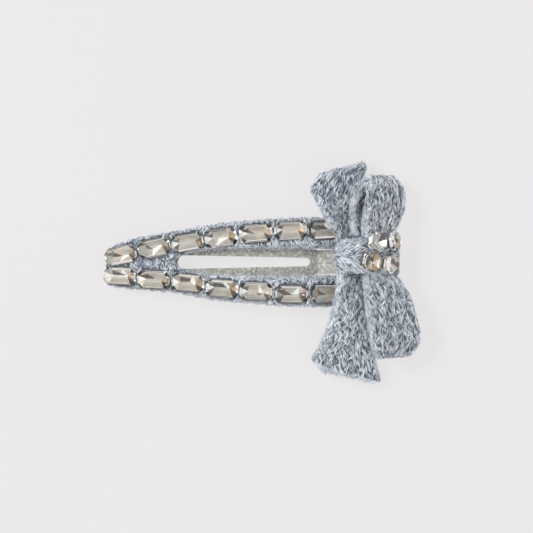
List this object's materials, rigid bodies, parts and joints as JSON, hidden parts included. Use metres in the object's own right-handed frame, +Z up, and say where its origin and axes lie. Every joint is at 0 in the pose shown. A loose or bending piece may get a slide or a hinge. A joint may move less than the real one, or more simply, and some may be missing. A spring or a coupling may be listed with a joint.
{
  "type": "hair clip",
  "caption": "Snap hair clip with a yarn-covered arched frame, rows of step-cut stones and a knitted bow; its tongue swings down to take hair.",
  "frame": {"origin": "on the surface that the clip lies on, under the middle of its outline", "axes": "+X along the clip from its narrow tip to the bow, +Y across it, +Z up, away from the hair"},
  "size_m": [0.079, 0.0548, 0.0148],
  "materials": {
    "steel": "matt grey plated spring steel",
    "yarn": "light blue-grey marled yarn with a short halo",
    "stone": "champagne foil-backed cut glass"
  },
  "bodies": {
    "clip": {"snap_frame": "steel", "yarn_wrap": "yarn", "bow_knot": "yarn", "bow_loop_upper": "yarn", "bow_loop_lower": "yarn", "bow_tail_upper": "yarn", "bow_tail_lower": "yarn", "stone_upper_1": "stone", "stone_upper_2": "stone", "stone_upper_3": "stone", "stone_upper_4": "stone", "stone_upper_5": "stone", "stone_upper_6": "stone", "stone_upper_7": "stone", "stone_lower_1": "stone", "stone_lower_2": "stone", "stone_lower_3": "stone", "stone_lower_4": "stone", "stone_lower_5": "stone", "stone_lower_6": "stone", "stone_lower_7": "stone", "stone_knot_1": "stone", "stone_knot_2": "stone", "stone_knot_3": "stone", "stone_knot_4": "stone"},
    "tongue_body": {"tongue": "steel"}
  },
  "joints": [
    {"name": "tongue_snap", "type": "hinge", "parent": "clip", "child": "tongue_body", "pos_m": [0.02118, 0.00268, 0.00196], "axis": [0, -1, 0], "range_deg": [0, 25]}
  ]
}
